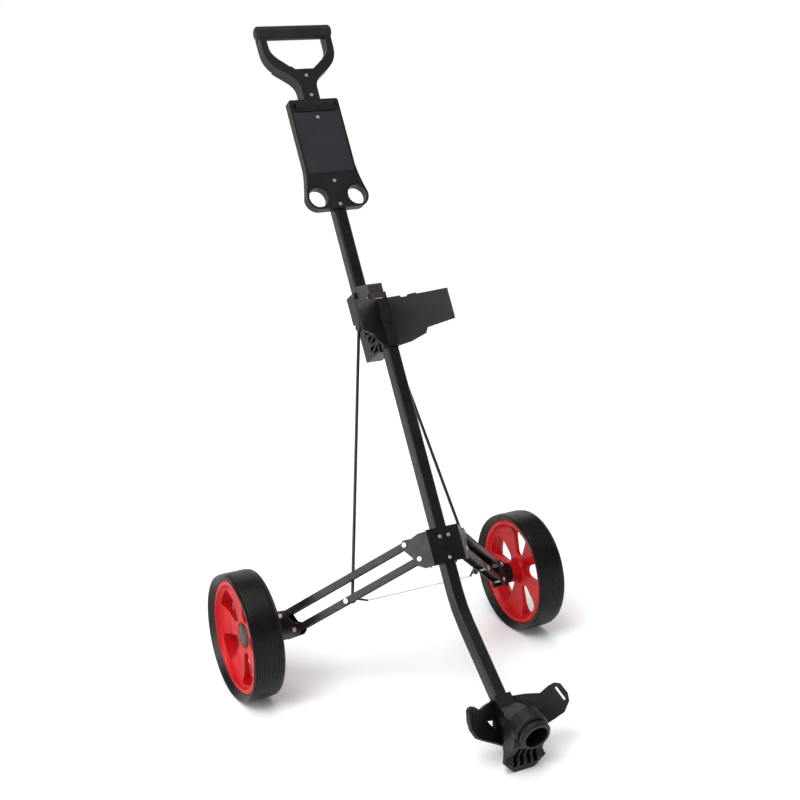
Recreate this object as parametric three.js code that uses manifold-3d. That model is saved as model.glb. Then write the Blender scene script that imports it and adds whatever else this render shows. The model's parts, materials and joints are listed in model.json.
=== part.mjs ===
// Two-wheeled golf push trolley, standing open on its wheels and its front foot.
// Millimetres, +Z up, +X right, the golfer's handle towards +Y, the bag side towards -Y.
// The mast leans back, so everything bolted to it is drawn in an upright mast frame:
// x right, y back, z up along the main tube, origin on the tube's axis at the wheel arm bracket.

import * as THREE from "three";
import { mergeVertices } from "three/addons/utils/BufferGeometryUtils.js";
import Module from "manifold-3d";

const wasm = await Module();
wasm.setup();

// Driving dimensions
const GAP = 0.3;                 // between pieces that touch
const RUN = 0.15;                // radial play of a pin in its hole
const LEAN = radians(29.8);      // mast away from the vertical
const WHEEL_RADIUS = 120;
const TRACK_HALF = 301.8;        // wheel centre from the middle
const AXLE_BACK = 281.7;         // axle line behind the mast axis
const AXLE_DROP = 60;            // axle line below the bracket
const MAIN_TUBE = 25;
const HANDLE_TUBE = 25;
const TUBE_WALL = 1.5;
const HANDLE_OFFSET = 63.5;      // handle tube axis behind the main tube axis
const MAST_TOP = 462;
const BEND_Z = -116;
const BEND_ANGLE = radians(19.4);
const BEND_RADIUS = 180;
const MAST_END = 195;            // length of the straight below the bend point
const ARM_SWEEP = radians(50.6); // arm planes turned back from the mast's side
const ARM_LENGTH = 287.5;
const ARM_SLOPE = radians(11.86);
const ARM_HEIGHT = 12;
const ARM_FRONT = -31;           // arm flanges, distance from the mast axis
const ARM_BACK = -13;
const PLATE = 2.5;
const LOWER_PIVOT = [34.2, -15.6];
const UPPER_PIVOT = [56.6, 15.7];
const PIN_RADIUS = 3;
const ROD_BOLT_AT = 168.4;       // rod bolt along the lower arm
const ROD_RADIUS = 3;
const SLIDER_LOW = 370;
const SLIDER_HIGH = 443;
const GRIP_Z = 1048;
const GRIP_BACK = 59.7;
const GRIP_RADIUS = 14;
const GRIP_HALF = 77;
const CONSOLE_TOP = 898.6;
const CONSOLE_FRONT = 47;        // front face of the card plate, behind the mast axis
const RING_X = 40.5;
const RING_Z = 695.5;
const RING_RADIUS = 19.3;
const RING_WALL = 4.5;
const CONSOLE_HALF = 52.5;
const CONSOLE_DEPTH = 18;
const CRADLE_SWEEP = radians(45);
const REST_SWEEP = radians(36);

function radians(degrees) {
  return (degrees * Math.PI) / 180;
}

const finishes = {
  paint: { color: 0x151313, roughness: 0.35, metalness: 0.5 },
  black_plastic: { color: 0x232121, roughness: 0.55, metalness: 0 },
  latch_plastic: { color: 0x4a4242, roughness: 0.55, metalness: 0 },
  rubber: { color: 0x1c1c1a, roughness: 0.8, metalness: 0 },
  red_plastic: { color: 0xd01418, roughness: 0.3, metalness: 0 },
  zinc: { color: 0xd0d0d0, roughness: 0.3, metalness: 1 },
  cap_plastic: { color: 0x463c37, roughness: 0.5, metalness: 0 },
  window: { color: 0x34363a, roughness: 0.15, metalness: 0 },
};

// ---- geometry helpers ----

function solid(geometry) {
  const bare = geometry.clone();
  bare.deleteAttribute("normal");
  bare.deleteAttribute("uv");
  const merged = bare.userData.closed ? bare : mergeVertices(bare, 1e-3);
  const vertProperties = new Float32Array(merged.attributes.position.array);
  const triVerts = new Uint32Array(merged.index.array);
  return new wasm.Manifold(new wasm.Mesh({ numProp: 3, vertProperties, triVerts }));
}

function geometryOf(body) {
  const mesh = body.getMesh();
  const geometry = new THREE.BufferGeometry();
  const positions = new Float32Array(mesh.vertProperties);
  geometry.setAttribute("position", new THREE.BufferAttribute(positions, 3));
  geometry.setIndex(new THREE.BufferAttribute(new Uint32Array(mesh.triVerts), 1));
  geometry.computeVertexNormals();
  geometry.userData.closed = true;
  return geometry;
}

function join(...pieces) {
  return geometryOf(pieces.map(solid).reduce((sum, piece) => sum.add(piece)));
}

function cut(piece, ...tools) {
  return geometryOf(tools.map(solid).reduce((rest, tool) => rest.subtract(tool), solid(piece)));
}

function common(a, b) {
  return geometryOf(solid(a).intersect(solid(b)));
}

function box(xMin, xMax, yMin, yMax, zMin, zMax) {
  const geometry = new THREE.BoxGeometry(xMax - xMin, yMax - yMin, zMax - zMin);
  return geometry.translate((xMin + xMax) / 2, (yMin + yMax) / 2, (zMin + zMax) / 2);
}

function bar(from, to, radius, sides = 12) {
  const a = new THREE.Vector3(...from);
  const b = new THREE.Vector3(...to);
  const geometry = new THREE.CylinderGeometry(radius, radius, a.distanceTo(b), sides);
  const direction = b.clone().sub(a).normalize();
  const turn = new THREE.Quaternion().setFromUnitVectors(new THREE.Vector3(0, 1, 0), direction);
  const middle = a.clone().add(b).multiplyScalar(0.5);
  return geometry.applyQuaternion(turn).translate(middle.x, middle.y, middle.z);
}

function outline(points) {
  return new THREE.Shape(points.map(([x, y]) => new THREE.Vector2(x, y)));
}

function hole(shape, x, y, radius) {
  const path = new THREE.Path();
  path.absarc(x, y, radius, 0, 2 * Math.PI, true);
  shape.holes.push(path);
  return shape;
}

function extrude(shape, depth, curveSegments = 8) {
  return new THREE.ExtrudeGeometry(shape, { depth, curveSegments, bevelEnabled: false });
}

// Shape drawn in x and z, thick from yMin to yMax.
function standing(shape, yMin, yMax, curveSegments) {
  return extrude(shape, yMax - yMin, curveSegments).rotateX(Math.PI / 2).translate(0, yMax, 0);
}

// Shape drawn in y and z, wide from xMin to xMax.
function across(shape, xMin, xMax, curveSegments) {
  const axes = new THREE.Matrix4().makeBasis(
    new THREE.Vector3(0, 1, 0),
    new THREE.Vector3(0, 0, 1),
    new THREE.Vector3(1, 0, 0),
  );
  return extrude(shape, xMax - xMin, curveSegments).applyMatrix4(axes).translate(xMin, 0, 0);
}

// Turned body about the x axis from [radius, x] pairs.
function turned(profile, segments = 24) {
  const points = profile.map(([radius, x]) => new THREE.Vector2(radius, x));
  return new THREE.LatheGeometry(points, segments).rotateZ(-Math.PI / 2);
}

function mirrored(geometry) {
  const copy = geometry.clone().scale(-1, 1, 1);
  const count = copy.attributes.position.count;
  const order = copy.index ? Array.from(copy.index.array) : Array.from({ length: count }, (_, i) => i);
  for (let i = 0; i < order.length; i += 3) {
    [order[i + 1], order[i + 2]] = [order[i + 2], order[i + 1]];
  }
  copy.setIndex(order);
  copy.computeVertexNormals();
  return copy;
}

function sided(geometry, side) {
  return side > 0 ? geometry : mirrored(geometry);
}

function sideName(side) {
  return side > 0 ? "right" : "left";
}

function piece(parent, name, geometry, finish) {
  const mesh = new THREE.Mesh(geometry, new THREE.MeshStandardMaterial(finishes[finish]));
  mesh.name = name;
  parent.add(mesh);
  return mesh;
}

// A pin along y with a head on each end, in the frame of the wheel arms.
function rivet(u, z, front, back, headRadius = 4.7, headHeight = 2.2) {
  return join(
    bar([u, front - 0.5, z], [u, back + 0.5, z], PIN_RADIUS),
    bar([u, front - headHeight, z], [u, front - 0.01, z], headRadius),
    bar([u, back + 0.01, z], [u, back + headHeight, z], headRadius),
  );
}

// ---- frames ----

const trolley = new THREE.Group();
const mast = new THREE.Group();
mast.rotation.x = -LEAN;
mast.position.y = -AXLE_BACK * Math.cos(LEAN) + AXLE_DROP * Math.sin(LEAN);
mast.position.z = WHEEL_RADIUS + AXLE_BACK * Math.sin(LEAN) + AXLE_DROP * Math.cos(LEAN);
trolley.add(mast);

function armFrame(side) {
  const frame = new THREE.Group();
  frame.rotation.z = side * ARM_SWEEP;
  mast.add(frame);
  return frame;
}

// ---- mast ----

function squareSection(size, corner) {
  const h = size / 2;
  const c = h - corner;
  return [[c, -h], [h, -c], [h, c], [c, h], [-c, h], [-h, c], [-h, -c], [-c, -h]];
}

function mastPath() {
  const tangent = BEND_RADIUS * Math.tan(BEND_ANGLE / 2);
  const path = new THREE.CurvePath();
  const down = (length) => new THREE.Vector3(
    0,
    -length * Math.sin(BEND_ANGLE),
    BEND_Z - length * Math.cos(BEND_ANGLE),
  );
  const bendTop = new THREE.Vector3(0, 0, BEND_Z + tangent);
  path.add(new THREE.LineCurve3(new THREE.Vector3(0, 0, MAST_TOP), bendTop));
  path.add(new THREE.QuadraticBezierCurve3(bendTop, new THREE.Vector3(0, 0, BEND_Z), down(tangent)));
  path.add(new THREE.LineCurve3(down(tangent), down(MAST_END)));
  return path;
}

function mainTube() {
  const section = outline(squareSection(MAIN_TUBE, 3));
  const bore = squareSection(MAIN_TUBE - 2 * TUBE_WALL, 2).reverse();
  section.holes.push(new THREE.Path(bore.map(([x, y]) => new THREE.Vector2(x, y))));
  return new THREE.ExtrudeGeometry(section, { steps: 24, extrudePath: mastPath() });
}

function handleTube() {
  const section = outline(squareSection(HANDLE_TUBE, 3));
  const bore = squareSection(HANDLE_TUBE - 2 * TUBE_WALL, 2).reverse();
  section.holes.push(new THREE.Path(bore.map(([x, y]) => new THREE.Vector2(x, y))));
  return extrude(section, 962 - 376).translate(0, HANDLE_OFFSET, 376);
}

function mastPieces() {
  piece(mast, "main_tube", mainTube(), "paint");
  const cap = join(
    box(-12.5, 12.5, -12.5, 12.5, MAST_TOP + GAP, MAST_TOP + 3),
    box(-9.7, 9.7, -9.7, 9.7, MAST_TOP - 14, MAST_TOP + 1),
  );
  piece(mast, "main_tube_cap", cap, "black_plastic");
}

// ---- wheel arm bracket ----

const WING_FRONT = -34;
const REAR_WING = -12.7;

function wingOutline(inner) {
  const shape = outline([
    [inner, -33], [27, -35], [41, -27], [46, -13], [59, 4], [66, 10],
    [65, 18], [58, 24], [41, 23], [26, 28], [inner, 28],
  ]);
  hole(shape, ...LOWER_PIVOT, PIN_RADIUS + RUN);
  return hole(shape, ...UPPER_PIVOT, PIN_RADIUS + RUN);
}

function wing(inner, front, side) {
  const plate = standing(wingOutline(inner), front, front + PLATE);
  return sided(plate, side).rotateZ(side * ARM_SWEEP);
}

function bracketPieces() {
  const rivetPlaces = [[-8.7, 13.5], [8.7, 13.5], [0, -26]];
  const drill = (low, high) => rivetPlaces.map(([x, z]) => bar([x, low, z], [x, high, z], 2.2));
  const frontFace = -15.3;
  const rearFace = 12.5 + GAP;
  const front = join(
    box(-32, 32, frontFace, frontFace + PLATE, -34, 30),
    wing(8.4, WING_FRONT, 1),
    wing(8.4, WING_FRONT, -1),
  );
  piece(mast, "bracket_front_plate", cut(front, ...drill(-18, -12)), "paint");
  const rear = join(
    box(-25.4, 25.4, rearFace, rearFace + PLATE, -33, 28),
    wing(26, REAR_WING, 1),
    wing(26, REAR_WING, -1),
  );
  piece(mast, "bracket_rear_plate", cut(rear, ...drill(10, 18)), "paint");
  rivetPlaces.forEach(([x, z], i) => {
    const head = join(
      bar([x, frontFace - 1.8, z], [x, frontFace - 0.05, z], 3.4),
      bar([x, frontFace - 1, z], [x, frontFace + PLATE - 0.1, z], 2),
    );
    piece(mast, `bracket_rivet_${i + 1}`, head, "zinc");
  });
}

// ---- wheel arms, rods and cable ----

const armDrop = ARM_LENGTH * Math.sin(ARM_SLOPE);
const armReach = ARM_LENGTH * Math.cos(ARM_SLOPE);

function armEnd([u, z]) {
  return [u + armReach, z - armDrop];
}

function along([u, z], distance) {
  return [u + distance * Math.cos(ARM_SLOPE), z - distance * Math.sin(ARM_SLOPE)];
}

function armFlange(holes, front, back) {
  const r = ARM_HEIGHT / 2;
  const shape = new THREE.Shape();
  shape.absarc(0, 0, r, Math.PI / 2, 1.5 * Math.PI, false);
  shape.absarc(ARM_LENGTH, 0, r, -Math.PI / 2, Math.PI / 2, false);
  holes.forEach((x) => hole(shape, x, 0, PIN_RADIUS + RUN));
  return standing(shape, front, back, 8);
}

function arm([u, z], holes) {
  const wall = 2;
  const top = ARM_HEIGHT / 2;
  const web = box(4, ARM_LENGTH - 4, ARM_FRONT + 1, ARM_BACK - 1, top - wall, top - 0.01);
  const channel = join(
    armFlange(holes, ARM_FRONT, ARM_FRONT + wall),
    armFlange(holes, ARM_BACK - wall, ARM_BACK),
    web,
  );
  return channel.rotateY(ARM_SLOPE).translate(u, 0, z);
}

const rodBolt = along(LOWER_PIVOT, ROD_BOLT_AT);
const ROD_BOTTOM_V = -6.5;
const rodBottom = [rodBolt[0], ROD_BOTTOM_V, rodBolt[1]];
const rodTop = [56.1, 11.1, 432];

function rod() {
  const eye = ([u, v, z]) => bar([u, v - 2.5, z], [u, v + 2.5, z], 6.5, 16);
  const bore = ([u, v, z]) => bar([u, v - 4, z], [u, v + 4, z], PIN_RADIUS + RUN);
  const face = ([u, v, z]) => bar([u, v - 6, z], [u, v + 6, z], 5.5, 16);
  const slanted = cut(bar(rodBottom, rodTop, ROD_RADIUS, 8), face(rodBottom), face(rodTop));
  const whole = join(slanted, eye(rodBottom), eye(rodTop));
  return cut(whole, bore(rodBottom), bore(rodTop));
}

function rodBoltPiece() {
  const [u, z] = rodBolt;
  return join(
    bar([u, ARM_FRONT - 2.5, z], [u, ARM_FRONT - 0.05, z], 5.5, 6),
    bar([u, ARM_FRONT - 1, z], [u, ROD_BOTTOM_V + 6.5, z], PIN_RADIUS),
    bar([u, ROD_BOTTOM_V + 2.8, z], [u, ROD_BOTTOM_V + 6.5, z], 5.5, 6),
  );
}

function rodTopBolt() {
  const [u, v, z] = rodTop;
  return join(
    bar([u, v - 5, z], [u, v - 2.8, z], 5),
    bar([u, v - 4, z], [u, v + 3.2, z], PIN_RADIUS),
  );
}

const CABLE_HALF = 107;
const CABLE_Y = 133;
const CABLE_Z = -58.5;

function cableSleeve() {
  const [u, z] = rodBolt;
  const start = new THREE.Vector3(u - 6.6, ROD_BOTTOM_V + 5, z);
  start.applyAxisAngle(new THREE.Vector3(0, 0, 1), ARM_SWEEP);
  const sleeve = bar([start.x, start.y, start.z], [CABLE_HALF + 1.5, CABLE_Y, CABLE_Z], 2, 8);
  return sleeve.rotateZ(-ARM_SWEEP);
}

function sidePieces(side) {
  const frame = armFrame(side);
  const name = sideName(side);
  const lowerHoles = [0, ROD_BOLT_AT, ARM_LENGTH];
  const place = (label, geometry, finish) => piece(frame, `${label}_${name}`, sided(geometry, side), finish);
  place("lower_arm", arm(LOWER_PIVOT, lowerHoles), "paint");
  place("upper_arm", arm(UPPER_PIVOT, [0, ARM_LENGTH]), "paint");
  place("lower_arm_pin", rivet(...LOWER_PIVOT, WING_FRONT - 0.05, REAR_WING + PLATE + 0.05), "zinc");
  place("upper_arm_pin", rivet(...UPPER_PIVOT, WING_FRONT - 0.05, REAR_WING + PLATE + 0.05), "zinc");
  place("rod", rod(), "paint");
  place("rod_bolt", rodBoltPiece(), "zinc");
  place("rod_top_bolt", rodTopBolt(), "paint");
  place("cable_sleeve", cableSleeve(), "rubber");
  knucklePieces(place);
}

// ---- knuckle: carries the axle at the outer end of both arms ----

const lowerKnuckle = armEnd(LOWER_PIVOT);
const upperKnuckle = armEnd(UPPER_PIVOT);

// The axle in the arm frame: a point at distance x along the trolley's x axis.
function axlePoint(x) {
  const u = x * Math.cos(ARM_SWEEP) + AXLE_BACK * Math.sin(ARM_SWEEP);
  const v = AXLE_BACK * Math.cos(ARM_SWEEP) - x * Math.sin(ARM_SWEEP);
  return [u, v, -AXLE_DROP];
}

function knuckleOutline() {
  const shape = outline([
    [304, -80], [311, -86], [346, -88], [384, -74], [388, -60],
    [384, -46], [346, -33], [329, -35], [318, -60], [305, -66],
  ]);
  hole(shape, ...lowerKnuckle, PIN_RADIUS + RUN);
  return hole(shape, ...upperKnuckle, PIN_RADIUS + RUN);
}

function knuckle() {
  const plate = (front) => standing(knuckleOutline(), front, front + PLATE);
  const web = outline([
    [352, -84], [384, -73], [388, -60], [384, -47], [352, -37],
  ]);
  const boss = bar(axlePoint(250), axlePoint(262), 15, 20);
  const flange = bar(axlePoint(260), axlePoint(272.9), 21, 24);
  const plates = join(plate(WING_FRONT), plate(REAR_WING), standing(web, WING_FRONT + 1, REAR_WING + 1));
  const whole = join(plates, boss, flange);
  return cut(whole, bar(axlePoint(240), axlePoint(290), 6 + GAP));
}

function knucklePieces(place) {
  const headRadius = 4.4;
  const pin = (at) => rivet(...at, WING_FRONT - 0.05, REAR_WING + PLATE + 0.05, headRadius);
  place("knuckle", knuckle(), "paint");
  place("lower_knuckle_pin", pin(lowerKnuckle), "zinc");
  place("upper_knuckle_pin", pin(upperKnuckle), "zinc");
}

// ---- wheels, in the trolley's own axes ----

const HUB_OUT = 2;               // hub ends, measured outwards from the wheel's middle
const HUB_IN = -28.5;

// One side of the section: radius and distance from the middle, from the rim's lip to the tread.
const TYRE_SIDE = [
  [106.8, 21], [112.5, 26.5], [116.5, 30.2], [118.2, 29.8], [119.4, 25.5], [WHEEL_RADIUS, 19],
];

function tyre() {
  const inner = TYRE_SIDE.map(([radius, across]) => [radius, -across]);
  const outer = [...TYRE_SIDE].reverse();
  return turned([...inner, ...outer, inner[0]], 40);
}

function rimWindow() {
  const window = new THREE.Shape();
  window.moveTo(32, 0);
  window.quadraticCurveTo(32.5, -8, 40, -11.5);
  window.lineTo(84, -26.5);
  window.quadraticCurveTo(92, -26, 92, 0);
  window.quadraticCurveTo(92, 26, 84, 26.5);
  window.lineTo(40, 11.5);
  window.quadraticCurveTo(32.5, 8, 32, 0);
  return window;
}

// The windows are turned by phase about the axle, from straight back towards up.
function rim(phase) {
  const bore = 6 + GAP;
  const barrel = turned([
    [98, -20], [106.5, -20], [106.5, 21], [98, 21],
    [95, 16.5], [90, 11.5], [82, 7.5], [70, 5], [25, HUB_OUT + 2],
    [24.5, HUB_OUT], [bore, HUB_OUT], [bore, HUB_IN], [21, HUB_IN],
    [24, -6], [30, -3], [70, -3.5], [82, -5.5], [90, -10], [95, -15], [98, -20],
  ], 40);
  const axes = new THREE.Matrix4().makeBasis(
    new THREE.Vector3(0, 1, 0),
    new THREE.Vector3(0, 0, 1),
    new THREE.Vector3(1, 0, 0),
  );
  const tool = extrude(rimWindow(), 60, 4).translate(0, 0, -30);
  const turns = [0, 72, 144, 216, 288].map((degrees) => radians(degrees + phase));
  return cut(barrel, ...turns.map((angle) => tool.clone().rotateZ(angle).applyMatrix4(axes)));
}

function hubCap() {
  const back = HUB_OUT + GAP;
  return turned([
    [0, back], [22, back], [22, back + 1.5], [19, back + 4.5], [15, back + 5.5], [0, back + 6],
  ], 24);
}

function axle() {
  return bar([252 - TRACK_HALF, 0, 0], [HUB_OUT - 0.5, 0, 0], 6, 16);
}

function wheelPieces(side) {
  const wheel = new THREE.Group();
  wheel.position.set(side * TRACK_HALF, 0, WHEEL_RADIUS);
  trolley.add(wheel);
  const name = sideName(side);
  piece(wheel, `tyre_${name}`, sided(tyre(), side), "rubber");
  piece(wheel, `rim_${name}`, sided(rim(side > 0 ? 22 : 36), side), "red_plastic");
  piece(wheel, `hub_cap_${name}`, sided(hubCap(), side), "cap_plastic");
  piece(wheel, `axle_${name}`, sided(axle(), side), "zinc");
}

// ---- head: cradle, guide, latch and slider ----

const CRADLE_SCREW = 420;

function cradleArm(side) {
  const shape = outline([
    [2, 370], [26, 370], [56, 376], [61, 385], [116, 385], [116, 443], [58, 451.5], [57, 454],
    [40, 456], [39, 453],
    [27, 455], [26, 459], [2, 463],
  ]);
  const arm = sided(standing(shape, -4, 0), side);
  return arm.rotateZ(-side * CRADLE_SWEEP).translate(side * 12.5, -14.5, 0);
}

function cradle() {
  const root = join(
    box(-20, 20, -19, -12.8, 372, 463),
    box(-17.5, -12.8, -19, -2, 372, 445.5),
    box(12.8, 17.5, -19, -2, 372, 445.5),
  );
  return cut(
    join(root, cradleArm(1), cradleArm(-1)),
    bar([0, -25, CRADLE_SCREW], [0, -10, CRADLE_SCREW], 2.7),
  );
}

const LATCH_PIVOT = [2, 473];

function guide() {
  const [y, z] = LATCH_PIVOT;
  const whole = join(
    box(-18.6, 18.6, -5, 79, 446, 464.5),
    box(-21, 21, 48.5, 84, 446, 500),
    box(15.6, 18.6, -4, 8, 450, 480),
    box(-18.6, -15.6, -4, 8, 450, 480),
  );
  return cut(
    whole,
    bar([-20, y, z], [20, y, z], 2 + RUN),
    box(-12.8, 12.8, -12.8, 12.8, 440, 510),
    box(-13, 13, HANDLE_OFFSET - 13, HANDLE_OFFSET + 13, 440, 510),
  );
}

function latch() {
  const profile = outline([[-4.5, 468], [46, 483], [46, 511], [-4.5, 497]]);
  hole(profile, ...LATCH_PIVOT, 2 + RUN);
  return across(profile, -15, 15, 6);
}

function latchPieces() {
  const [y, z] = LATCH_PIVOT;
  piece(mast, "release_latch", latch(), "latch_plastic");
  piece(mast, "latch_pin", bar([-18, y, z], [18, y, z], 2, 12), "zinc");
}

function slider() {
  const whole = join(
    box(-16, 16, 13, 79, SLIDER_LOW, SLIDER_HIGH),
    box(-18, 18, 34, 62, SLIDER_LOW + 45, SLIDER_HIGH),
  );
  const lattice = [375, 394, 413].flatMap((low) => [
    across(outline([[18, low], [43, low], [18, low + 12]]), -25, 25),
    across(outline([[48, low + 3], [48, low + 15], [23, low + 15]]), -25, 25),
  ]);
  return cut(
    whole,
    box(-12.8, 12.8, HANDLE_OFFSET - 12.8, HANDLE_OFFSET + 12.8, SLIDER_LOW + 5, SLIDER_HIGH + 5),
    ...lattice,
  );
}

function headPieces() {
  piece(mast, "upper_cradle", cradle(), "black_plastic");
  piece(mast, "handle_guide", guide(), "black_plastic");
  const z = CRADLE_SCREW;
  const screw = join(bar([0, -21, z], [0, -19.05, z], 4.5), bar([0, -20, z], [0, -12.9, z], 2.5));
  piece(mast, "cradle_screw", screw, "paint");
  latchPieces();
}

// ---- handle: slides down the mast to fold the trolley ----

// The yoke in x and z: from the neck up the right arm to the grip, and the same mirrored on the left.
function yokeOutline() {
  const shape = new THREE.Shape();
  shape.moveTo(17, 893);
  shape.lineTo(17, 925);
  shape.quadraticCurveTo(18, 939, 32, 950);
  shape.lineTo(52, 965);
  shape.quadraticCurveTo(75, 982, 75.5, 1010);
  shape.lineTo(76, 1041);
  shape.lineTo(62.5, 1041);
  shape.lineTo(62, 1012);
  shape.quadraticCurveTo(60, 998, 46, 987);
  shape.lineTo(19, 965);
  shape.lineTo(-19, 965);
  shape.lineTo(-46, 987);
  shape.quadraticCurveTo(-60, 998, -62, 1012);
  shape.lineTo(-62.5, 1041);
  shape.lineTo(-76, 1041);
  shape.lineTo(-75.5, 1010);
  shape.quadraticCurveTo(-75, 982, -52, 965);
  shape.lineTo(-32, 950);
  shape.quadraticCurveTo(-18, 939, -17, 925);
  shape.lineTo(-17, 893);
  return shape;
}

function yoke() {
  const y = GRIP_BACK;
  const body = standing(yokeOutline(), HANDLE_OFFSET - 14.5, HANDLE_OFFSET + 14.5);
  const thinned = (low, high) => box(-90, 90, low, high, 971, 1060);
  return cut(
    body,
    thinned(40, 51.5),
    thinned(74.5, 90),
    bar([-90, y, GRIP_Z], [90, y, GRIP_Z], GRIP_RADIUS + GAP, 24),
    box(-12.8, 12.8, HANDLE_OFFSET - 12.8, HANDLE_OFFSET + 12.8, 880, 963),
    ...STEM_RIVETS.map((z) => bar([0, 40, z], [0, 53, z], 2.2)),
  );
}

const STEM_RIVETS = [950, 908];
const SCREW_ROWS = [860, 727, 679];

function gripSleeve() {
  const h = GRIP_HALF;
  const sleeve = turned([
    [10.4, -h], [13, -h], [GRIP_RADIUS, 1 - h], [GRIP_RADIUS, h - 1], [13, h], [10.4, h], [10.4, -h],
  ], 24);
  return sleeve.translate(0, GRIP_BACK, GRIP_Z);
}

function gripCore() {
  const h = GRIP_HALF - 2;
  return turned([[8.5, -h], [10.1, -h], [10.1, h], [8.5, h], [8.5, -h]], 20)
    .translate(0, GRIP_BACK, GRIP_Z);
}

function gripEnd(side) {
  const h = GRIP_HALF;
  const plug = turned([
    [0, h - 10], [8.2, h - 10], [8.2, h + GAP], [12, h + GAP], [12, h + 1.5], [9, h + 3], [0, h + 3],
  ], 20);
  return sided(plug, side).translate(0, GRIP_BACK, GRIP_Z);
}

function consoleOutline(inset) {
  const half = CONSOLE_HALF - inset;
  const top = CONSOLE_TOP - inset;
  const lobe = RING_RADIUS + RING_WALL - inset;
  const shape = new THREE.Shape();
  shape.moveTo(3 - half, top);
  shape.lineTo(half - 3, top);
  shape.lineTo(half, top - 3);
  shape.lineTo(half, CONSOLE_TOP - 140);
  shape.quadraticCurveTo(half + 1, CONSOLE_TOP - 158, RING_X + lobe - 5, CONSOLE_TOP - 182);
  shape.absarc(RING_X, RING_Z, lobe, 0.35, -Math.PI / 2, true);
  shape.absarc(-RING_X, RING_Z, lobe, -Math.PI / 2, Math.PI - 0.35, true);
  shape.quadraticCurveTo(-half - 1, CONSOLE_TOP - 158, -half, CONSOLE_TOP - 140);
  shape.lineTo(-half, top - 3);
  shape.closePath();
  return shape;
}

const CLIP_PIVOT = [CONSOLE_FRONT - 2.3, CONSOLE_TOP - 7];

function consoleShell() {
  const [clipY, clipZ] = CLIP_PIVOT;
  const ear = (side) => sided(box(40.4, 44, clipY - 2, CONSOLE_FRONT + 1, clipZ - 3, clipZ + 3), side);
  const face = consoleOutline(0);
  const front = standing(face, CONSOLE_FRONT, CONSOLE_FRONT + CONSOLE_DEPTH, 8);
  const hollow = standing(consoleOutline(3), CONSOLE_FRONT + 4, CONSOLE_FRONT + 30, 8);
  const collar = (side) => bar([side * RING_X, CONSOLE_FRONT + 1, RING_Z],
    [side * RING_X, CONSOLE_FRONT + CONSOLE_DEPTH - 0.5, RING_Z], RING_RADIUS + 3, 24);
  const shell = join(cut(front, hollow), collar(1), collar(-1), ear(1), ear(-1));
  const bore = (side) => bar([side * RING_X, CONSOLE_FRONT - 5, RING_Z],
    [side * RING_X, CONSOLE_FRONT + 30, RING_Z], RING_RADIUS, 24);
  const passage = (low, high) => box(-12.9, 12.9, CONSOLE_FRONT + 3.6, 90, low, high);
  const stem = box(-17.5, 17.5, CONSOLE_FRONT + 1.7, 90, 892, 910);
  const recess = box(-48.5, 48.5, CONSOLE_FRONT - 1, CONSOLE_FRONT + 2, CONSOLE_TOP - 155, CONSOLE_TOP - 12);
  const drill = SCREW_ROWS.map((z) => bar([0, 40, z], [0, 55, z], 2.2));
  const clipBore = bar([-50, clipY, clipZ], [50, clipY, clipZ], 0.9 + RUN, 10);
  return cut(shell, bore(1), bore(-1), passage(660, 700), stem, recess, clipBore, ...drill);
}

function consolePieces() {
  piece(mast, "console", consoleShell(), "black_plastic");
  const low = CONSOLE_TOP - 154;
  const high = CONSOLE_TOP - 26;
  const drill = bar([0, 40, SCREW_ROWS[0]], [0, 55, SCREW_ROWS[0]], 2.2);
  const sheet = box(-48, 48, CONSOLE_FRONT, CONSOLE_FRONT + 1.7, low, high);
  piece(mast, "card_window", cut(sheet, drill), "window");
  SCREW_ROWS.forEach((z, i) => {
    const screw = join(
      bar([0, CONSOLE_FRONT - 1.6, z], [0, CONSOLE_FRONT - 0.05, z], 3.6),
      bar([0, CONSOLE_FRONT - 1, z], [0, 50.6, z], 2),
    );
    piece(mast, `console_screw_${i + 1}`, screw, "zinc");
  });
}

function clipPieces() {
  const [y, z] = CLIP_PIVOT;
  const flap = across(outline([
    [y - 1.6, z + 1.5], [y + 1.4, z + 1.5], [y + 1.6, z - 2.4], [y + 1.9, z - 18], [y + 0.2, z - 18.4],
    [y - 2.2, z - 2.4],
  ]), -40, 40);
  const drilled = cut(flap, bar([-41, y, z], [41, y, z], 0.9 + RUN, 10));
  piece(mast, "card_clip", drilled, "black_plastic");
  piece(mast, "clip_pin", bar([-43.5, y, z], [43.5, y, z], 0.9, 10), "zinc");
}

function handlePieces() {
  piece(mast, "handle_tube", cut(
    handleTube(),
    ...STEM_RIVETS.map((z) => bar([0, 50, z], [0, 56, z], 2.2)),
  ), "paint");
  piece(mast, "handle_yoke", yoke(), "black_plastic");
  piece(mast, "grip_core", gripCore(), "paint");
  piece(mast, "grip_sleeve", gripSleeve(), "rubber");
  piece(mast, "grip_end_right", gripEnd(1), "black_plastic");
  piece(mast, "grip_end_left", gripEnd(-1), "black_plastic");
  STEM_RIVETS.forEach((z, i) => {
    const shank = join(bar([0, 47.1, z], [0, 48.95, z], 3.4), bar([0, 48, z], [0, 55.5, z], 2));
    piece(mast, `stem_rivet_${i + 1}`, shank, "zinc");
  });
  piece(mast, "slider", slider(), "black_plastic");
  consolePieces();
  clipPieces();
}

// ---- bag rest and foot, in the trolley's own axes from the axle line ----

const REST_Z = -277.6;
const REST_Y = -57;

function restArm(side) {
  const shape = outline([
    [-8, -4], [35, -8], [60, -13], [76, -5], [88, -2], [98, -6], [106, -24], [105, -38],
    [92, -54], [70, -62], [30, -74], [0, -84], [-8, -84],
  ]);
  const opening = standing(outline([[14, -37], [44, -34], [24, -52]]), -5, 5);
  const slot = standing(outline([[87, -11], [90.5, -9.5], [100, -33], [96.5, -34.5]]), -5, 5);
  const plate = sided(cut(standing(shape, -3, 3), opening, slot), side);
  return plate.rotateZ(-side * REST_SWEEP).translate(side * 12.5, REST_Y, REST_Z);
}

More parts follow.
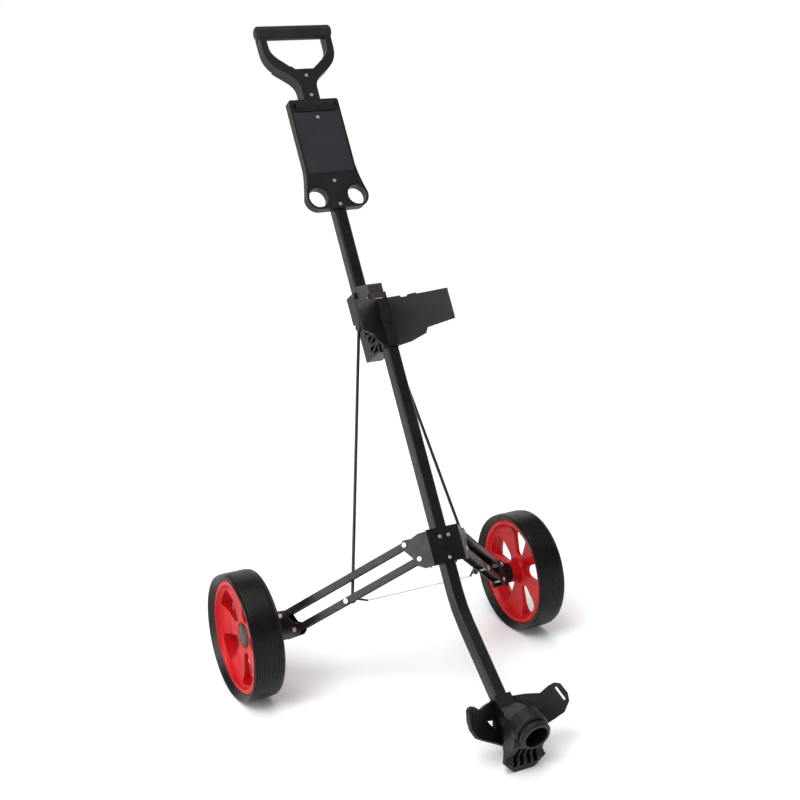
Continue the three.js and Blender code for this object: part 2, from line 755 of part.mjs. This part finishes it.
// Turns a geometry from the trolley's axes, measured from the axle line on the floor, into mast axes.
function intoMast(geometry) {
  mast.updateMatrix();
  return geometry.applyMatrix4(mast.matrix.clone().invert());
}

function footSolid() {
  const side = across(outline([
    [-484, 0], [-470, 0], [-446, 40], [-414, 60], [-402, 90], [-440, 99], [-500, 100],
    [-503, 58], [-486, 30], [-490, 20],
  ]), -42, 42);
  const front = standing(outline([
    [-18, -1], [18, -1], [40, 22], [33, 38], [30, 82], [24, 125], [-24, 125], [-30, 82], [-33, 38], [-40, 22],
  ]), -520, -380);
  const plan = extrude(outline([
    [-44, -520], [44, -520], [44, -486], [24, -462], [18, -436],
    [18, -390], [-18, -390], [-18, -436], [-24, -462], [-44, -486],
  ]), 140).translate(0, 0, -2);
  return common(common(side, front), plan);
}

// Hollows between the ribs under the cup.
function footPockets() {
  const pocket = (low, high, lean) => standing(outline([
    [low + lean, 12], [high + lean, 12], [high, 52], [low, 52],
  ]), -530, -478);
  return [pocket(-9, -1.5, -2), pocket(1.5, 9, 2), pocket(12.5, 20, 4), pocket(-20, -12.5, -4)];
}

const CUP_AXIS = radians(17);

// The cup in the foot: a wide boss, a groove round it and a lip at its mouth.
function cup() {
  const at = (distance) => [
    0,
    -514 - distance * Math.cos(CUP_AXIS),
    82 - distance * Math.sin(CUP_AXIS),
  ];
  const axis = new THREE.Vector3(0, -Math.cos(CUP_AXIS), -Math.sin(CUP_AXIS));
  const cone = (back, backRadius, front, frontRadius) => new THREE.CylinderGeometry(
    frontRadius, backRadius, front - back, 28,
  ).applyQuaternion(new THREE.Quaternion().setFromUnitVectors(new THREE.Vector3(0, 1, 0), axis))
    .translate(...at((back + front) / 2));
  return {
    solids: [
      cone(-32, 31.5, -8, 31.5),
      cone(-8.01, 31.5, -5, 29),
      cone(-10, 25, 3, 25),
      cone(1, 28.5, 5.5, 28.5),
      cone(5.49, 28.5, 9, 25.5),
    ],
    bore: cone(-24, 21, 20, 21),
  };
}

function restSocket(clearance, length) {
  const half = MAIN_TUBE / 2 + clearance;
  const block = box(-half, half, -half, half, -MAST_END - clearance, -MAST_END + length);
  return block.rotateX(-BEND_ANGLE).translate(0, 0, BEND_Z);
}

function bagRest() {
  const { solids, bore } = cup();
  const blocks = [footSolid(), ...solids].map((shape) => intoMast(shape));
  const whole = join(...blocks, restSocket(4, 20), restArm(1), restArm(-1));
  const pockets = footPockets().map((shape) => intoMast(shape));
  return cut(whole, intoMast(bore), restSocket(GAP, 76), ...pockets);
}

function restPieces() {
  piece(mast, "bag_rest", bagRest(), "black_plastic");
}

// ---- the whole trolley ----

mastPieces();
bracketPieces();
[1, -1].forEach(sidePieces);
const cable = bar([-CABLE_HALF, CABLE_Y, CABLE_Z], [CABLE_HALF, CABLE_Y, CABLE_Z], 1, 8);
piece(mast, "limit_cable", cable, "zinc");
headPieces();
handlePieces();
restPieces();
[1, -1].forEach(wheelPieces);

// The origin is the middle of the trolley's footprint on the floor.
trolley.updateMatrixWorld(true);
const extent = new THREE.Box3().setFromObject(trolley, true);
trolley.position.y = -(extent.min.y + extent.max.y) / 2;

export default trolley;
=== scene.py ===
import json
import math

import bmesh
import bpy
from mathutils import Matrix, Vector


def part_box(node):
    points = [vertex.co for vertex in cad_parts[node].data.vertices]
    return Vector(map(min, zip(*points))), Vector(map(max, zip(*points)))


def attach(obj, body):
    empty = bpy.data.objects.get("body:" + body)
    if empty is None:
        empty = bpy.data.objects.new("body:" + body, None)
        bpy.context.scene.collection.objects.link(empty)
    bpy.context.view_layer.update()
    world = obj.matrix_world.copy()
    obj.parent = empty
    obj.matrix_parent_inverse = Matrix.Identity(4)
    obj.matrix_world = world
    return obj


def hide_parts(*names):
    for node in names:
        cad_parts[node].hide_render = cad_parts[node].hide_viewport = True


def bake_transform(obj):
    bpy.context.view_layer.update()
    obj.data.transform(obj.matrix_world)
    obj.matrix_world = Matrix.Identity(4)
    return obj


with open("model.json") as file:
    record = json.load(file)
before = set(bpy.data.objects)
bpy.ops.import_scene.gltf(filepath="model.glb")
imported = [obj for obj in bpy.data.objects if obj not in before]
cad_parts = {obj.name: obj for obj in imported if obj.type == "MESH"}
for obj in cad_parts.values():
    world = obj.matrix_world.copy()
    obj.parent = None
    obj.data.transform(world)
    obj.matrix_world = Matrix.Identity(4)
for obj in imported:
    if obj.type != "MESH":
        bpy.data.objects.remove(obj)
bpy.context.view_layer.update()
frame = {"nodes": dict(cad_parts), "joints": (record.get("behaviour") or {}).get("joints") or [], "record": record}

MM = 0.001

# ---- where things are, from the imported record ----

JOINTS = {j["name"]: j for j in frame["joints"]}
UP = -Vector(JOINTS["handle_slide"]["axis"]).normalized()      # along the mast
BACK = Vector((1, 0, 0)).cross(-UP).normalized()               # square to it, away from the bag
AXLE = Vector(JOINTS["wheel_spin_right"]["pos_m"])
TRACK_HALF = AXLE.x
AXLE_BACK = 281.7              # mm, axle line behind the mast's origin
AXLE_DROP = 60                 # mm, axle line below it
MAST_ORIGIN = Vector((0, AXLE.y, AXLE.z)) - AXLE_BACK * MM * BACK + AXLE_DROP * MM * UP
MAST = Matrix.Translation(MAST_ORIGIN) @ Matrix((
    (1, BACK.x, UP.x, 0),
    (0, BACK.y, UP.y, 0),
    (0, BACK.z, UP.z, 0),
    (0, 0, 0, 1),
))
NODE_SLOT = {s["node"]: s["material_slot"] for s in frame["record"]["subparts"]}
BODY_OF = {n: b for b, nodes in frame["record"]["behaviour"]["bodies"].items() for n in nodes}

# ---- materials ----


def new_material(name):
    material = bpy.data.materials.new(name)
    material.use_nodes = True
    shader = material.node_tree.nodes["Principled BSDF"]
    shader.inputs["Specular IOR Level"].default_value = 0.26
    return material, material.node_tree, shader


def noise_of(tree, scale, detail=4.0, stretch=(1, 1, 1)):
    nodes, links = tree.nodes, tree.links
    coords = nodes.new("ShaderNodeTexCoord")
    mapping = nodes.new("ShaderNodeMapping")
    mapping.inputs["Scale"].default_value = stretch
    noise = nodes.new("ShaderNodeTexNoise")
    noise.inputs["Scale"].default_value = scale
    noise.inputs["Detail"].default_value = detail
    links.new(coords.outputs["Object"], mapping.inputs["Vector"])
    links.new(mapping.outputs["Vector"], noise.inputs["Vector"])
    return noise.outputs["Fac"]


def ramp_colour(tree, shader, fac, low, high, start=0.35, end=0.65):
    ramp = tree.nodes.new("ShaderNodeValToRGB")
    ramp.color_ramp.elements[0].position = start
    ramp.color_ramp.elements[1].position = end
    ramp.color_ramp.elements[0].color = (*low, 1)
    ramp.color_ramp.elements[1].color = (*high, 1)
    tree.links.new(fac, ramp.inputs["Fac"])
    tree.links.new(ramp.outputs["Color"], shader.inputs["Base Color"])


def ramp_roughness(tree, shader, fac, low, high):
    spread = tree.nodes.new("ShaderNodeMapRange")
    spread.inputs["From Min"].default_value = 0.3
    spread.inputs["From Max"].default_value = 0.7
    spread.inputs["To Min"].default_value = low
    spread.inputs["To Max"].default_value = high
    tree.links.new(fac, spread.inputs["Value"])
    tree.links.new(spread.outputs["Result"], shader.inputs["Roughness"])


def add_bump(tree, shader, height, strength, distance, below=None):
    bump = tree.nodes.new("ShaderNodeBump")
    bump.inputs["Strength"].default_value = strength
    bump.inputs["Distance"].default_value = distance
    tree.links.new(height, bump.inputs["Height"])
    if below is not None:
        tree.links.new(below.outputs["Normal"], bump.inputs["Normal"])
    tree.links.new(bump.outputs["Normal"], shader.inputs["Normal"])
    return bump


def satin_paint():
    material, tree, shader = new_material("satin_black_paint")
    ramp_colour(tree, shader, noise_of(tree, 9), (0.0030, 0.0028, 0.0027), (0.0060, 0.0056, 0.0053))
    ramp_roughness(tree, shader, noise_of(tree, 70, 6), 0.26, 0.42)
    peel = add_bump(tree, shader, noise_of(tree, 520, 2), 0.12, 0.0003)
    add_bump(tree, shader, noise_of(tree, 14, 1), 0.06, 0.002, peel)
    shader.inputs["Coat Weight"].default_value = 0.05
    shader.inputs["Coat Roughness"].default_value = 0.2
    return material


def moulded(name, low, high, rough, grain=0.25, scale=1300):
    material, tree, shader = new_material(name)
    ramp_colour(tree, shader, noise_of(tree, 25, 5), low, high)
    ramp_roughness(tree, shader, noise_of(tree, 140, 5), *rough)
    fine = add_bump(tree, shader, noise_of(tree, scale, 3), grain, 0.0002)
    add_bump(tree, shader, noise_of(tree, 30, 2), 0.08, 0.001, fine)
    return material


def tyre_rubber():
    material, tree, shader = new_material("tyre_rubber")
    blotches = noise_of(tree, 40, 6)
    ramp_colour(tree, shader, blotches, (0.0024, 0.0024, 0.0021), (0.0048, 0.0047, 0.0042))
    ramp_roughness(tree, shader, noise_of(tree, 90, 5), 0.26, 0.40)
    fine = add_bump(tree, shader, noise_of(tree, 900, 3), 0.3, 0.0003)
    add_bump(tree, shader, noise_of(tree, 22, 2), 0.1, 0.001, fine)
    shader.inputs["Specular IOR Level"].default_value = 0.25
    return material


def red_plastic():
    material, tree, shader = new_material("red_plastic")
    ramp_colour(tree, shader, noise_of(tree, 12, 4), (0.37, 0.003, 0.005), (0.44, 0.005, 0.008))
    ramp_roughness(tree, shader, noise_of(tree, 60, 4), 0.27, 0.38)
    fine = add_bump(tree, shader, noise_of(tree, 700, 2), 0.06, 0.0002)
    add_bump(tree, shader, noise_of(tree, 20, 1), 0.08, 0.0015, fine)
    shader.inputs["Specular IOR Level"].default_value = 0.12
    shader.inputs["Coat Weight"].default_value = 0.05
    shader.inputs["Coat Roughness"].default_value = 0.15
    return material


def bright_zinc():
    material, tree, shader = new_material("zinc")
    ramp_colour(tree, shader, noise_of(tree, 120, 4), (0.40, 0.40, 0.40), (0.50, 0.50, 0.51))
    ramp_roughness(tree, shader, noise_of(tree, 400, 4), 0.40, 0.54)
    add_bump(tree, shader, noise_of(tree, 900, 2), 0.1, 0.0001)
    shader.inputs["Metallic"].default_value = 1.0
    return material


def window_sheet():
    material, tree, shader = new_material("window_plastic")
    ramp_colour(tree, shader, noise_of(tree, 18, 3), (0.017, 0.018, 0.022), (0.021, 0.022, 0.026))
    ramp_roughness(tree, shader, noise_of(tree, 60, 5, (1, 1, 12)), 0.30, 0.36)
    add_bump(tree, shader, noise_of(tree, 10, 1), 0.05, 0.001)
    shader.inputs["Coat Weight"].default_value = 0.08
    shader.inputs["Coat Roughness"].default_value = 0.2
    return material


def cable_coat():
    material, tree, shader = new_material("cable_coat")
    ramp_colour(tree, shader, noise_of(tree, 60, 3), (0.50, 0.50, 0.49), (0.68, 0.68, 0.66))
    ramp_roughness(tree, shader, noise_of(tree, 200, 3), 0.35, 0.5)
    add_bump(tree, shader, noise_of(tree, 1500, 2), 0.4, 0.0002)
    return material


MATERIALS = {
    "satin_black_paint": satin_paint(),
    "black_plastic": moulded(
        "black_plastic", (0.0042, 0.0038, 0.0038), (0.0085, 0.0078, 0.0076), (0.38, 0.52)),
    "latch_plastic": moulded(
        "latch_plastic", (0.026, 0.020, 0.020), (0.042, 0.033, 0.032), (0.45, 0.6)),
    "black_rubber": moulded(
        "black_rubber", (0.006, 0.0058, 0.0057), (0.012, 0.0115, 0.0115), (0.5, 0.64), 0.35, 800),
    "tyre_rubber": tyre_rubber(),
    "red_plastic": red_plastic(),
    "cap_plastic": moulded(
        "cap_plastic", (0.032, 0.024, 0.021), (0.048, 0.037, 0.032), (0.35, 0.5)),
    "zinc": bright_zinc(),
    "cable_coat": cable_coat(),
    "window_plastic": window_sheet(),
}

# ---- making pieces ----


def finish_piece(obj, node):
    """Gives a new piece its node's material, and puts it in the node's place."""
    slot = NODE_SLOT[node]
    obj.data.materials.clear()
    obj.data.materials.append(MATERIALS[slot])
    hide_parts(node)
    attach(obj, BODY_OF[node])


def piece_from(bm, name, sharp=35):
    """A mesh object from bm, smooth except at edges sharper than sharp degrees."""
    limit = math.radians(sharp)
    for face in bm.faces:
        face.smooth = True
    for edge in bm.edges:
        edge.smooth = len(edge.link_faces) == 2 and edge.calc_face_angle(0) < limit
    mesh = bpy.data.meshes.new(name)
    bm.to_mesh(mesh)
    bm.free()
    obj = bpy.data.objects.new(name, mesh)
    bpy.context.scene.collection.objects.link(obj)
    return obj


def add_bevel(obj, width, angle=32, segments=2):
    bevel = obj.modifiers.new("edges", "BEVEL")
    bevel.width = width
    bevel.segments = segments
    bevel.limit_method = "ANGLE"
    bevel.angle_limit = math.radians(angle)
    bevel.harden_normals = True
    bevel.use_clamp_overlap = True


def refined(node, width, angle=32, segments=2):
    """The node's own shape with its facets joined and its edges rounded."""
    bm = bmesh.new()
    bm.from_mesh(frame["nodes"][node].data)
    bmesh.ops.remove_doubles(bm, verts=bm.verts, dist=2e-5)
    bmesh.ops.dissolve_limit(bm, angle_limit=math.radians(0.6), verts=bm.verts, edges=bm.edges)
    obj = piece_from(bm, node + "_surface", angle)
    if width:
        add_bevel(obj, width, angle, segments)
    finish_piece(obj, node)


def lathe(profile, segments, bulge=None):
    """A closed body turned about X from (radius, x) pairs in mm.

    bulge(radius, x, angle) gives how far each point is shifted along X.
    """
    bm = bmesh.new()
    rings = []
    for i in range(segments):
        angle = 2 * math.pi * i / segments
        ring = []
        for radius, x in profile:
            shift = bulge(radius, x, angle) if bulge else 0
            ring.append(bm.verts.new((
                (x + shift) * MM,
                radius * math.cos(angle) * MM,
                radius * math.sin(angle) * MM,
            )))
        rings.append(ring)
    count = len(profile)
    for i in range(segments):
        here, there = rings[i], rings[(i + 1) % segments]
        for k in range(count):
            n = (k + 1) % count
            bm.faces.new((here[k], here[n], there[n], there[k]))
    bmesh.ops.recalc_face_normals(bm, faces=bm.faces)
    return bm


def prism(points, low, high, axes):
    """A closed body from an outline of (a, b) pairs in mm, from low to high along the third axis."""
    bm = bmesh.new()
    ends = []
    for level in (low, high):
        ends.append([bm.verts.new((axes @ Vector((a, b, level))) * MM) for a, b in points])
    bm.faces.new(ends[0])
    bm.faces.new(ends[1])
    for k in range(len(points)):
        n = (k + 1) % len(points)
        bm.faces.new((ends[0][k], ends[0][n], ends[1][n], ends[1][k]))
    bmesh.ops.recalc_face_normals(bm, faces=bm.faces)
    return bm


def apply_modifiers(obj):
    graph = bpy.context.evaluated_depsgraph_get()
    mesh = bpy.data.meshes.new_from_object(obj.evaluated_get(graph))
    obj.modifiers.clear()
    obj.data = mesh


def mirror_x(bm):
    for vert in bm.verts:
        vert.co.x = -vert.co.x
    bmesh.ops.reverse_faces(bm, faces=bm.faces)


# ---- wheels ----

RIB_PITCH = 4.2
RIB_DEPTH = 1.3


def tread_radius(x):
    corners = [(0, 120.0), (19, 120.0), (24, 119.6), (27.5, 118.8), (30, 117.0)]
    for (x0, r0), (x1, r1) in zip(corners, corners[1:]):
        if abs(x) <= x1:
            return r0 + (r1 - r0) * (abs(x) - x0) / (x1 - x0)
    return corners[-1][1]


def tyre_profile():
    """The tyre's section: sides flaring from the rim's lips, and fine ribs round the tread."""
    side = [(106.8, -21), (107.4, -21.6), (109.5, -23.6), (112.5, -26.4),
            (115.3, -29.2), (116.6, -30.2), (117.8, -30.2), (118.8, -28.6)]
    tread = []
    x = -6.0 * RIB_PITCH
    while x < 6.0 * RIB_PITCH - 0.1:
        tread.append((tread_radius(x) - RIB_DEPTH, x + 0.1))
        tread.append((tread_radius(x) - RIB_DEPTH, x + 0.9))
        tread.append((tread_radius(x + 1.3), x + 1.3))
        tread.append((tread_radius(x + RIB_PITCH - 0.4), x + RIB_PITCH - 0.4))
        x += RIB_PITCH
    tread.append((tread_radius(x) - RIB_DEPTH, x + 0.1))
    return side + tread + [(r, -x) for r, x in reversed(side)]


def make_tyre(side, name):
    bm = lathe(tyre_profile(), 144)
    obj = piece_from(bm, "tyre_ribbed_" + name, 28)
    obj.location = (side * TRACK_HALF, AXLE.y, AXLE.z)
    apply_location(obj)
    finish_piece(obj, "tyre_" + name)


def apply_location(obj):
    obj.data.transform(Matrix.Translation(obj.location))
    obj.location = (0, 0, 0)


def rim_profile():
    """The rim's section: lips and barrel, a thin web that flares to both lips, and the hub."""
    outer_web = [(98, 21), (97.2, 19.6), (96.2, 17.6), (95, 15.8), (93.4, 14), (91.6, 12.6),
                 (89.5, 11.2), (87, 9.8), (84, 8.4), (80, 7.2), (75, 6.0)]
    outer_web += [(r, web_outer(r)) for r in range(70, 27, -6)]
    hub = [(25.4, 3.9), (24.4, 3.2), (24.0, 2.0), (6.3, 2.0), (6.3, -28.5), (20, -28.5),
           (21, -27.5), (21.3, -12), (22.4, -8), (24.2, -5.6), (27, -3.8)]
    inner_web = [(r, -3.1 - (r - 30) / 100) for r in range(30, 71, 8)]
    inner_web += [(75, -4.1), (80, -5.2), (84, -6.6), (87, -8), (89.5, -9.7), (91.6, -11.3),
                  (93.4, -13.1), (95, -15.1), (96.2, -17), (97.2, -18.8), (98, -20)]
    lips = [(99, -20), (105.6, -20), (106.5, -19), (106.5, 20), (105.6, 21), (99, 21)]
    return outer_web + hub + inner_web + lips


def web_outer(radius):
    """The web's nearly flat outer face."""
    return 4 + (radius - 25) / 45


def rim_bulge(phase):
    """The web's outer face swells a little between the windows."""
    def bulge(radius, x, angle):
        if x < 0 or not 27 < radius < 90:
            return 0
        across = math.sin(math.pi * (radius - 27) / 63)
        between = math.sin(2.5 * (angle - phase)) ** 2
        return 1.6 * across * between
    return bulge


def curve_point(start, pull, end, t):
    """The point at t, from 0 to 1, on the quadratic curve from start to end."""
    weights = ((1 - t) ** 2, 2 * t * (1 - t), t * t)
    return tuple(sum(w * p[i] for w, p in zip(weights, (start, pull, end))) for i in (0, 1))


def window_outline():
    """One window in the web, from its rounded end near the hub to the barrel."""
    half = []
    for k in range(7):
        t = k / 6
        half.append(curve_point((32, 0), (32.5, 8), (40, 11.5), t))
    for k in range(1, 9):
        t = k / 8
        half.append(curve_point((84, 26.5), (92, 26), (92, 0), t))
    return half + [(a, -b) for a, b in half[-2:0:-1]]


def make_rim(side, name, phase_degrees):
    phase = math.radians(phase_degrees)
    bm = lathe(rim_profile(), 180, rim_bulge(phase))
    obj = piece_from(bm, "rim_dished_" + name, 40)
    tools = []
    for k in range(5):
        turn = phase + 2 * math.pi * k / 5
        c, s = math.cos(turn), math.sin(turn)
        axes = Matrix(((0, 0, 1), (c, -s, 0), (s, c, 0)))
        tools.append(piece_from(prism(window_outline(), -30, 30, axes), f"window_{name}_{k}"))
    for tool in tools:
        cut = obj.modifiers.new("window", "BOOLEAN")
        cut.operation = "DIFFERENCE"
        cut.solver = "EXACT"
        cut.object = tool
    apply_modifiers(obj)
    for tool in tools:
        bpy.data.objects.remove(tool)
    bm = bmesh.new()
    bm.from_mesh(obj.data)
    bmesh.ops.remove_doubles(bm, verts=bm.verts, dist=1e-6)
    if side < 0:
        mirror_x(bm)
    bpy.data.objects.remove(obj)
    obj = piece_from(bm, "rim_dished_" + name, 40)
    add_bevel(obj, 1.3 * MM, 48, 3)
    obj.location = (side * TRACK_HALF, AXLE.y, AXLE.z)
    apply_location(obj)
    finish_piece(obj, "rim_" + name)


# ---- release latch ----


def make_latch():
    """A wedge with fine grip ridges over its top and front."""
    top = []
    for k in range(7):
        y = 46 - 7.2 * k
        z = 511 - 14 * (46 - y) / 50.5
        ridge = [(0, 0), (4.4, 1.2), (5.0, 2.6), (6.4, 3.0), (6.9, 1.9)]
        top += [(y - back, z - down) for back, down in ridge]
    front = [(-4.5, 495.5), (-4.5, 491), (-3.2, 490), (-3.2, 488.6), (-4.5, 487.6), (-4.5, 483),
             (-3.2, 482), (-3.2, 480.6), (-4.5, 479.6), (-4.5, 468)]
    outline = [(46, 483)] + top + front
    axes = Matrix(((0, 0, 1), (1, 0, 0), (0, 1, 0)))
    bm = prism(outline, -15, 15, axes)
    bm.transform(MAST)
    obj = piece_from(bm, "release_latch_ridged", 30)
    add_bevel(obj, 0.5 * MM, 30, 2)
    finish_piece(obj, "release_latch")


# ---- limit cable ----

CABLE_HALF = 107               # mm, from the middle to the sleeve on each side
CABLE_RADIUS = 1.0
CABLE_CORE = 0.35              # radius of the hollow that keeps the lathed half closed
LONG_EDGE = 0.05               # m, edges that run along the cable are longer than this


def make_cable():
    """The cable in two halves, one on each side of its middle."""
    low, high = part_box("limit_cable")
    middle = (low + high) / 2
    for side, name in ((1, "right"), (-1, "left")):
        section = [
            (CABLE_CORE, 0), (CABLE_RADIUS, 0),
            (CABLE_RADIUS, CABLE_HALF), (CABLE_CORE, CABLE_HALF),
        ]
        bm = lathe(section, 12)
        if side < 0:
            mirror_x(bm)
        along = [e for e in bm.edges if abs(e.verts[0].co.x - e.verts[1].co.x) > LONG_EDGE]
        bmesh.ops.subdivide_edges(bm, edges=along, cuts=20)
        obj = piece_from(bm, "limit_cable_" + name, 40)
        obj.location = middle
        apply_location(obj)
        obj.data.materials.append(MATERIALS["cable_coat"])
        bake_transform(obj)
    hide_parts("limit_cable")


# ---- everything that keeps its own shape ----

# How far each node's edges are rounded, in mm.
EDGE = {
    "main_tube": 1.0, "handle_tube": 0.9, "main_tube_cap": 0.6,
    "bracket_front_plate": 0.5, "bracket_rear_plate": 0.5,
    "upper_cradle": 1.0, "handle_guide": 1.2, "slider": 0.8, "bag_rest": 1.4,
    "handle_yoke": 3.2, "console": 1.3, "card_window": 0.4, "card_clip": 0.5,
    "grip_core": 0.3, "grip_sleeve": 0.8, "latch_pin": 0.4, "clip_pin": 0.2, "cradle_screw": 0.5,
}
SIDE_EDGE = {
    "lower_arm": 0.7, "upper_arm": 0.7, "knuckle": 0.6, "rod": 0.4, "cable_sleeve": 0.5, "axle": 0.6,
    "hub_cap": 1.0, "lower_arm_pin": 0.9, "upper_arm_pin": 0.9, "lower_knuckle_pin": 0.9,
    "upper_knuckle_pin": 0.9, "rod_bolt": 0.6, "rod_top_bolt": 0.6, "grip_end": 0.8,
}
OTHER_EDGE = 0.6


def refine_all(done):
    for node in sorted(frame["nodes"]):
        if node in done:
            continue
        base = node.removesuffix("_right").removesuffix("_left")
        width = EDGE.get(node, SIDE_EDGE.get(base, OTHER_EDGE))
        segments = 4 if node == "handle_yoke" else 2
        refined(node, width * MM, 32, segments)


# ---- floor, light and camera ----


def make_floor():
    bm = bmesh.new()
    bmesh.ops.create_grid(bm, x_segments=8, y_segments=8, size=30)
    floor = piece_from(bm, "floor")
    material, tree, shader = new_material("pale_floor")
    ramp_colour(tree, shader, noise_of(tree, 1.2, 3), (0.925, 0.925, 0.925), (0.935, 0.935, 0.935))
    ramp_roughness(tree, shader, noise_of(tree, 3, 3), 0.75, 0.85)
    floor.data.materials.append(material)


def area_light(name, place, target, size, power):
    light = bpy.data.lights.new(name, "AREA")
    light.shape = "RECTANGLE"
    light.size, light.size_y = size
    light.energy = power
    obj = bpy.data.objects.new(name, light)
    obj.location = place
    aim = Vector(target) - Vector(place)
    obj.rotation_euler = aim.to_track_quat("-Z", "Y").to_euler()
    bpy.context.scene.collection.objects.link(obj)


def sun_light(name, direction, strength, degrees):
    """A light from far away that shines along direction, as wide in the sky as degrees."""
    light = bpy.data.lights.new(name, "SUN")
    light.energy = strength
    light.angle = math.radians(degrees)
    obj = bpy.data.objects.new(name, light)
    obj.rotation_euler = Vector(direction).to_track_quat("-Z", "Y").to_euler()
    obj.location = (0, 0, 4)
    bpy.context.scene.collection.objects.link(obj)


def make_world():
    """A white surround at eye level, dimmer overhead like a dark studio ceiling."""
    world = bpy.data.worlds.new("studio")
    world.use_nodes = True
    tree = world.node_tree
    background = tree.nodes["Background"]
    background.inputs["Color"].default_value = (1, 1, 1, 1)
    coords = tree.nodes.new("ShaderNodeTexCoord")
    split = tree.nodes.new("ShaderNodeSeparateXYZ")
    fade = tree.nodes.new("ShaderNodeMapRange")
    fade.interpolation_type = "SMOOTHSTEP"
    fade.inputs["From Min"].default_value = 0.14
    fade.inputs["From Max"].default_value = 0.42
    fade.inputs["To Min"].default_value = 1.0
    fade.inputs["To Max"].default_value = 0.2
    tree.links.new(coords.outputs["Generated"], split.inputs["Vector"])
    tree.links.new(split.outputs["Z"], fade.inputs["Value"])
    tree.links.new(fade.outputs["Result"], background.inputs["Strength"])
    bpy.context.scene.world = world


def make_lights():
    sun_light("top", (0.16, 0.10, -1), 1.9, 70)
    sun_light("key", (0.55, 0.35, -0.9), 1.4, 28)
    area_light("left_panel", (-3.4, -0.62, 1.1), (0, 0, 0.42), (2.4, 1.7), 60)
    area_light("back_rim", (1.4, 2.6, 1.7), (0, 0, 0.6), (1.6, 1.6), 12)


CAMERA_PLACE = (-1.1143, -2.1247, 1.2326)
CAMERA_TURN = (74.062, 1.235, -27.862)         # degrees
CAMERA_LENS = 61.62


def make_camera():
    camera = bpy.data.cameras.new("camera")
    camera.lens = CAMERA_LENS
    camera.sensor_width = 36
    camera.clip_end = 100
    obj = bpy.data.objects.new("camera", camera)
    obj.location = CAMERA_PLACE
    obj.rotation_euler = [math.radians(a) for a in CAMERA_TURN]
    bpy.context.scene.collection.objects.link(obj)
    bpy.context.scene.camera = obj


# ---- the whole scene ----

make_camera()
make_world()
make_lights()
make_floor()
done = {"limit_cable", "release_latch"}
for side, name, phase in ((1, "right", 22), (-1, "left", 36)):
    make_tyre(side, name)
    make_rim(side, name, phase)
    done |= {"tyre_" + name, "rim_" + name}
make_latch()
make_cable()
refine_all(done)
bpy.context.scene.view_settings.view_transform = "Standard"
